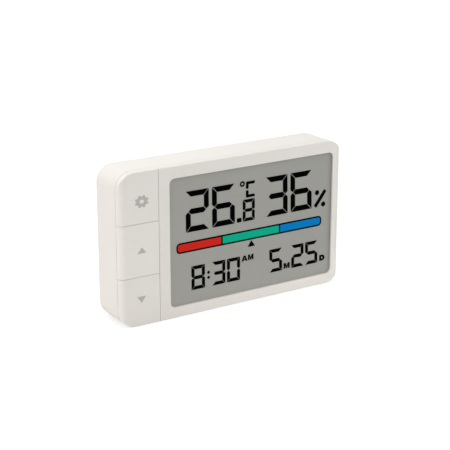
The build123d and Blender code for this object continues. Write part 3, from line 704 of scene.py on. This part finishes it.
ringRows = {
    "degree_ring": dict(outer=1.05, root=1.05, hole=0.42, teeth=1, steps=32, share=0.5, stretch=1.0,
                        x=3.32, z=44.26, sheet=imageSettings, ink="readoutInk", body="case"),
    "settings_icon": dict(outer=2.2, root=1.78, hole=0.69, teeth=8, steps=10, share=0.5, stretch=1.22,
                          x=-37.63, z=44.54, sheet=iconSettings, ink="buttonInk", body="settings_button"),
}
for name, row in ringRows.items():
    sheet = row["sheet"]
    grow(name, ringTree, {
        "Outer": row["outer"] * mm, "Root": row["root"] * mm, "Hole": row["hole"] * mm,
        "Teeth": row["teeth"], "Steps": row["steps"], "Tooth Share": row["share"],
        "Stretch": row["stretch"], "Thickness": sheet["thickness"] * mm, "Ink": inks[row["ink"]],
        "Centre": metres((row["x"], sheet["faceY"], row["z"])),
    }, row["body"])

arrowRows = {
    "up_icon": dict(body="up_button", outline=((-39.72, 26.27), (-36.26, 26.27), (-37.94, 28.41))),
    "down_icon": dict(body="down_button", outline=((-40.12, 10.76), (-38.39, 8.42), (-36.66, 10.76))),
}
for name, row in arrowRows.items():
    inkPlates(name, [row["outline"]], iconSettings, "buttonInk", row["body"])

# Comfort bar: dark rounded frame with three colour fields in front, sunk a little into its ink
barSettings = {"x0": -24.0, "x1": 38.5, "z0": 23.04, "z1": 26.93, "radius": 1.45, "line": 0.6,
               "dividers": (-5.25, 19.6), "lift": 0.012, "sink": 0.005}


def makeComfortBar(x0, x1, z0, z1, radius, line, dividers, lift, sink):
    readoutPlates("comfort_bar_frame", [roundedBox(x0, z0, x1, z1, radius)])
    firstCut, secondCut = dividers
    fields = {
        "comfort_bar_dry": ("barRed", x0 + line, firstCut - line / 2, (0, 0, 1, 1)),
        "comfort_bar_good": ("barGreen", firstCut + line / 2, secondCut - line / 2, (0, 0, 0, 0)),
        "comfort_bar_damp": ("barBlue", secondCut + line / 2, x1 - line, (1, 1, 0, 0)),
    }
    sheet = {"faceY": imageSettings["faceY"] - imageSettings["thickness"] + sink, "thickness": lift}
    for name, (ink, left, right, corners) in fields.items():
        outline = roundedBox(left, z0 + line, right, z1 - line, radius - line, corners=corners)
        inkPlates(name, [outline], sheet, ink, "case")


makeComfortBar(**barSettings)
print("bar and icons made")


# Small letters beside the clock and the date, drawn in a unit square
def arc(x, z, radiusX, radiusZ, start, end, steps=9):
    angles = [math.radians(start + (end - start) * step / (steps - 1)) for step in range(steps)]
    return [(x + radiusX * math.cos(angle), z + radiusZ * math.sin(angle)) for angle in angles]


letterShapes = {
    "A": [[(0, 0), (0.31, 0), (0.37, 0.18), (0.63, 0.18), (0.69, 0), (1, 0), (0.68, 1), (0.32, 1)],
          [(0.42, 0.4), (0.58, 0.4), (0.5, 0.68)]],
    "M": [[(0, 0), (0.29, 0), (0.29, 0.55), (0.42, 0), (0.58, 0), (0.71, 0.55), (0.71, 0), (1, 0),
           (1, 1), (0.68, 1), (0.5, 0.45), (0.32, 1), (0, 1)]],
    "D": [[(0, 0), *arc(0.48, 0.5, 0.52, 0.5, -90, 90), (0, 1)],
          [(0.37, 0.32), *arc(0.47, 0.5, 0.14, 0.18, -90, 90), (0.37, 0.68)]],
}
letterPlaces = [("A", 3.13, 15.37, 5.67, 17.44), ("M", 5.87, 15.48, 8.24, 17.55),
                ("M", 21.66, 9.13, 24.42, 11.3), ("D", 37.95, 9.14, 40.47, 11.42)]


def makeLetters():
    faceY, thickness = imageSettings["faceY"], imageSettings["thickness"]
    curve = bpy.data.curves.new("letterOutlines", "CURVE")
    curve.dimensions = "2D"
    curve.fill_mode = "BOTH"
    curve.extrude = thickness / 2
    for letter, x0, z0, x1, z1 in letterPlaces:
        for outline in letterShapes[letter]:
            spline = curve.splines.new("POLY")
            spline.points.add(len(outline) - 1)
            for point, (x, z) in zip(spline.points, outline):
                point.co = (x0 + x * (x1 - x0), z0 + z * (z1 - z0), 0.0, 1.0)
            spline.use_cyclic_u = True
    mesh = plainMesh("readout_letters", addObject("letterOutlines", curve))
    for vertex in mesh.vertices:
        x, z, depth = vertex.co
        vertex.co = metres((x, faceY - thickness / 2 - depth, z))
    shape = bmesh.new()
    shape.from_mesh(mesh)
    bmesh.ops.remove_doubles(shape, verts=shape.verts, dist=weldDistance)
    closeShape(shape, mesh, inks["readoutInk"])
    finishPiece("readout_letters", mesh, "case")


makeLetters()
print("letters made")

# Polarity marks that wrap round the cells: flat patches on seed points, then bent about the cell
wrapTree, given, result = geometryTree("wrappedMarks", {
    "Radius": "Float", "Thickness": "Float", "Centre": "Vector", "Ink": "Material",
})
patch = addNode(wrapTree, "GeometryNodeMeshGrid", {
    "Size X": 1.0, "Size Y": 1.0, "Vertices X": 2, "Vertices Y": 9,
})
spread = sizedCopies(wrapTree, given["Geometry"], patch.outputs["Mesh"])
sheets = addNode(wrapTree, "GeometryNodeRealizeInstances", {0: spread})
flat = axesOf(wrapTree, addNode(wrapTree, "GeometryNodeInputPosition").outputs[0])
angle = calc(wrapTree, "DIVIDE", flat["Y"], calc(wrapTree, "MULTIPLY", given["Radius"], -1.0))
reach = calc(wrapTree, "ADD", given["Radius"], flat["Z"])
bent = addNode(wrapTree, "GeometryNodeSetPosition", {
    "Geometry": thicken(wrapTree, sheets.outputs[0], given["Thickness"]),
    "Position": vector(wrapTree, flat["X"],
                       calc(wrapTree, "MULTIPLY", reach, calc(wrapTree, "COSINE", angle)),
                       calc(wrapTree, "MULTIPLY", reach, calc(wrapTree, "SINE", angle))),
})
moved = addNode(wrapTree, "GeometryNodeTransform", {
    "Geometry": bent.outputs[0], "Translation": given["Centre"],
})
endTree(wrapTree, given, result, moved.outputs[0])

# centre of each cell, and where its signs stand along it
cellMarks = {
    "upper_cell_marks": dict(centre=(0.0, 0.95, 45.45), plus=-17.6, minus=16.2),
    "lower_cell_marks": dict(centre=(0.0, 0.95, 34.55), plus=17.6, minus=-16.2),
}
signSettings = {"arm": 3.4, "width": 0.8, "thickness": 0.02, "radius": 5.25}
for name, row in cellMarks.items():
    arm, width = signSettings["arm"] * mm, signSettings["width"] * mm
    piece = (arm - width) / 2
    shift = (arm + width) / 4
    patches = [((row["plus"] * mm, 0.0), (arm, width)), ((row["plus"] * mm, shift), (width, piece)),
               ((row["plus"] * mm, -shift), (width, piece)), ((row["minus"] * mm, 0.0), (width, arm))]
    grow(name, wrapTree, {
        "Radius": signSettings["radius"] * mm, "Thickness": signSettings["thickness"] * mm,
        "Centre": metres(row["centre"]), "Ink": inks["readoutInk"],
    }, "case", seedMesh(name, [(x, y, 0.0) for (x, y), size in patches],
                        sizes=[value for place, size in patches for value in (*size, 1.0)]))
print("cell marks made")

# Copper under the solder mask: tracks along the seed edges, drawn flat and then stood upright
trackTree, given, result = geometryTree("boardTracks", {
    "Width": "Float", "Height": "Float", "Surface": "Float", "Ink": "Material",
})
path = addNode(trackTree, "GeometryNodeMeshToCurve", {0: given["Geometry"]})
normals = addNode(trackTree, "GeometryNodeSetCurveNormal", {"Curve": path.outputs[0]}, mode="Z_UP")
section = addNode(trackTree, "GeometryNodeCurvePrimitiveQuadrilateral", {
    "Width": given["Width"], "Height": given["Height"],
})
swept = addNode(trackTree, "GeometryNodeCurveToMesh", {
    "Curve": normals.outputs[0], "Profile Curve": section.outputs[0], "Fill Caps": True,
})
stood = addNode(trackTree, "GeometryNodeTransform", {
    "Geometry": swept.outputs[0], "Translation": vector(trackTree, 0.0, given["Surface"], 0.0),
    "Rotation": (math.pi / 2, 0.0, 0.0),
})
endTree(trackTree, given, result, stood.outputs[0])

# routes on the back of the board, as x and z of their corners
boardBack = -1.1
trackSettings = {"signalWidth": 0.35, "supplyWidth": 0.7, "height": 0.04}
capacitorRow = {"firstX": 17.56, "step": 3.0, "count": 5, "padZ": 21.95, "padStep": 2.1}
capacitorXs = [capacitorRow["firstX"] + capacitorRow["step"] * index
               for index in range(capacitorRow["count"])]
feederSettings = {"startX": 10.2, "startZ": 16.8, "pitch": 0.6, "corner": 0.8, "endZ": 21.6}


def feederRoute(index, x):
    # from the controller along the board, then up to one capacitor
    z = feederSettings["startZ"] - feederSettings["pitch"] * index
    corner = feederSettings["corner"]
    return [(feederSettings["startX"], z), (x - corner, z), (x, z + corner), (x, feederSettings["endZ"])]


signalRoutes = [feederRoute(index, x) for index, x in enumerate(capacitorXs)]
signalRoutes += [[(10.6, z), (33.9, z)] for z in (12.15, 12.95, 13.75)]
signalRoutes += [[(-5.0, 19.75), (-3.4, 19.75), (-0.9, 17.25)], [(-5.0, 20.65), (-2.8, 20.65), (0.5, 17.35)]]
signalRoutes += [[(-2.0, 12.6), (-33.0, 12.6), (-34.0, 13.6), (-34.0, 43.9), (-35.0, 44.9), (-37.6, 44.9)],
                 [(-1.8, 11.9), (-33.8, 11.9), (-34.8, 12.9), (-34.8, 25.4), (-35.8, 26.35), (-37.6, 26.35)],
                 [(-1.4, 11.2), (-34.6, 11.2), (-35.85, 9.95), (-37.6, 9.95)]]
supplyRoutes = [[(-29.3, 45.45), (-31.2, 45.45), (-32.4, 44.25), (-32.4, 14.6), (-31.2, 13.4), (-2.0, 13.4)],
                [(-29.3, 34.55), (-30.4, 34.55), (-31.4, 33.55), (-31.4, 15.5), (-30.2, 14.3), (-2.0, 14.3)]]


def routeSeed(name, routes):
    points, edges = [], []
    for route in routes:
        first = len(points)
        points += [metres((x, z, 0.0)) for x, z in route]
        edges += [(first + step, first + step + 1) for step in range(len(route) - 1)]
    return seedMesh(name, points, edges)


for name, routes, width in (("signal_tracks", signalRoutes, trackSettings["signalWidth"]),
                            ("supply_tracks", supplyRoutes, trackSettings["supplyWidth"])):
    grow(name, trackTree, {
        "Width": width * mm, "Height": trackSettings["height"] * mm, "Surface": boardBack * mm,
        "Ink": inks["maskedCopper"],
    }, "case", routeSeed(name, routes))

# Solder joints: one dome on each seed point, as wide and high as its "size" attribute says
jointTree, given, result = geometryTree("solderDomes", {
    "Sides": "Int", "Rings": "Int", "Surface": "Float", "Ink": "Material",
})
ball = addNode(jointTree, "GeometryNodeMeshUVSphere", {
    "Segments": given["Sides"], "Rings": given["Rings"], "Radius": 1.0,
})
axes = axesOf(jointTree, addNode(jointTree, "GeometryNodeInputPosition").outputs[0])
dome = addNode(jointTree, "GeometryNodeSetPosition", {
    "Geometry": ball.outputs["Mesh"],
    "Position": vector(jointTree, axes["X"], axes["Y"], calc(jointTree, "MAXIMUM", axes["Z"], 0.0)),
})
stood = addNode(jointTree, "GeometryNodeTransform", {
    "Geometry": sizedCopies(jointTree, given["Geometry"], dome.outputs[0]),
    "Translation": vector(jointTree, 0.0, given["Surface"], 0.0), "Rotation": (-math.pi / 2, 0.0, 0.0),
})
endTree(jointTree, given, result, stood.outputs[0])

# groups of joints: their x and z places, then half width, half height along z and rise
jointGroups = [
    ([(x + side, capacitorRow["padZ"]) for x in capacitorXs for side in (0.0, capacitorRow["padStep"])],
     (0.4, 0.42, 0.35)),
    ([(x, z) for x in (34.04, 36.84) for z in (12.15, 12.95, 13.75)], (0.32, 0.2, 0.2)),
    ([(-5.2, z) for z in (19.75, 20.65)], (0.6, 0.3, 0.35)),
    ([(x, middle + side) for middle in (8.95, 27.35, 45.9) for x in (-40.0, -37.6)
      for side in (-1.0, 1.0)], (0.5, 0.5, 0.4)),
    ([(-29.2, z) for z in (34.55, 45.45)], (0.7, 0.9, 0.5)),
]
jointSettings = {"Sides": 14, "Rings": 8}


def makeJoints():
    points, sizes = [], []
    for places, size in jointGroups:
        points += [metres((x, -z, 0.0)) for x, z in places]
        sizes += metres(size) * len(places)
    grow("solder_joints", jointTree, {**jointSettings, "Surface": boardBack * mm, "Ink": looks["solder"]},
         "case", seedMesh("solder", points, sizes=sizes))


makeJoints()
print("board tracks and joints made")


# Floor, light and camera
stageSettings = {"size": 6.0, "bounce": colour(246, 245, 243), "seen": colour(168, 168, 168), "glow": 0.66,
                 "farGlow": 0.34, "farFrom": 0.35, "farTo": 1.3}


def makeFloor():
    mesh = bpy.data.meshes.new("floor")
    half = stageSettings["size"] / 2
    mesh.from_pydata([(-half, -half, 0), (half, -half, 0), (half, half, 0), (-half, half, 0)], [],
                     [(0, 1, 2, 3)])
    floor = addObject("floor", mesh)
    material, tree, shader = newMaterial("floorPaper", Roughness=0.6)
    seen = addNode(tree, "ShaderNodeLightPath").outputs["Is Camera Ray"]
    paper = mixColours(tree, seen, stageSettings["bounce"], stageSettings["seen"])
    feed(tree, shader.inputs["Base Color"], paper)
    feed(tree, shader.inputs["Emission Color"], white)
    # the lamps light only the middle of the paper, so it glows more further out
    away = addNode(tree, "ShaderNodeVectorMath", {0: objectPlace(tree)}, operation="LENGTH")
    far = addNode(tree, "ShaderNodeMapRange", {
        "Value": away.outputs["Value"], "From Min": stageSettings["farFrom"],
        "From Max": stageSettings["farTo"], "To Min": stageSettings["glow"],
        "To Max": stageSettings["glow"] + stageSettings["farGlow"],
    }, clamp=True)
    feed(tree, shader.inputs["Emission Strength"], calc(tree, "MULTIPLY", seen, far.outputs[0]))
    mesh.materials.append(material)


makeFloor()

worldSettings = {"paint": (0.98, 0.99, 1.0, 1.0), "strength": 0.35}


def makeWorld():
    world = bpy.data.worlds.new("studio")
    bpy.context.scene.world = world
    world.use_nodes = True
    tree = world.node_tree
    soft = tree.nodes["Background"]
    feed(tree, soft.inputs["Color"], worldSettings["paint"])
    feed(tree, soft.inputs["Strength"], worldSettings["strength"])
    plain = addNode(tree, "ShaderNodeBackground", {"Color": white, "Strength": 1.0})
    path = addNode(tree, "ShaderNodeLightPath").outputs
    direct = calc(tree, "MAXIMUM", path["Is Camera Ray"],
                  calc(tree, "MAXIMUM", path["Is Glossy Ray"], path["Is Transmission Ray"]))
    both = addNode(tree, "ShaderNodeMixShader", {0: direct, 1: soft.outputs[0], 2: plain.outputs[0]})
    feed(tree, tree.nodes["World Output"].inputs["Surface"], both.outputs[0])


makeWorld()

# watts, width and height, place and aim, in metres
lampRows = {
    "skyPanel": dict(power=4.34, size=(0.9, 0.9), place=(-0.1, 0.0, 0.8), aim=(0, 0, 0.03)),
    "leftPanel": dict(power=2.35, size=(0.7, 0.7), place=(-0.8, -0.05, 0.3), aim=(0, 0, 0.03)),
    "rightPanel": dict(power=1.12, size=(0.8, 0.8), place=(0.5, -0.7, 0.15), aim=(0, 0, 0.03),
                       tint=(0.98, 1.0, 1.06)),
    "backPanel": dict(power=1.15, size=(0.9, 0.9), place=(0.1, 0.9, 0.35), aim=(0, 0, 0.03)),
    "bounceCard": dict(power=0.047, size=(0.12, 0.12), place=(0.14, -0.16, 0.012),
                       aim=(0.035, -0.008, 0.012), tint=(0.97, 1.0, 1.1)),
    "kerbRight": dict(power=0.0004, size=(0.03, 0.004), place=(0.036, -0.024, 0.0022),
                      aim=(0.036, -0.008, 0.0022)),
    "kerbMiddle": dict(power=0.0005, size=(0.05, 0.004), place=(0.002, -0.024, 0.0022),
                       aim=(0.002, -0.008, 0.0022)),
}
# seen in a gloss, the left panel burns out the top face from the right, and the two strips
# by the foot of the case show as bars
dullLamps = ("leftPanel", "kerbRight", "kerbMiddle")


def pointAlong(holder, direction):
    holder.rotation_mode = "QUATERNION"
    holder.rotation_quaternion = direction.to_track_quat("-Z", "Y")


for name, row in lampRows.items():
    lamp = bpy.data.lights.new(name, "AREA")
    lamp.shape = "RECTANGLE"
    lamp.energy = row["power"]
    lamp.color = row.get("tint", white[:3])
    lamp.size, lamp.size_y = row["size"]
    holder = addObject(name, lamp)
    holder.location = row["place"]
    holder.visible_camera = False
    holder.visible_glossy = name not in dullLamps
    pointAlong(holder, Vector(row["aim"]) - holder.location)

# the camera's angles in degrees, its place in metres, its lens and sensor in millimetres
cameraSettings = {"azimuth": -32.902, "elevation": 17.432, "place": (-0.24095, -0.373718, 0.167393),
                  "lens": 103.81, "sensor": 36.0, "near": 0.01}


def makeCamera():
    camera = addObject("camera", bpy.data.cameras.new("camera"))
    azimuth, elevation = (math.radians(cameraSettings[key]) for key in ("azimuth", "elevation"))
    camera.location = cameraSettings["place"]
    pointAlong(camera, Vector((-math.sin(azimuth) * math.cos(elevation),
                               math.cos(azimuth) * math.cos(elevation), -math.sin(elevation))))
    camera.data.lens = cameraSettings["lens"]
    camera.data.sensor_width = cameraSettings["sensor"]
    camera.data.clip_start = cameraSettings["near"]
    bpy.context.scene.camera = camera


makeCamera()
bpy.context.scene.view_settings.view_transform = "Standard"
print("stage, lamps and camera set")
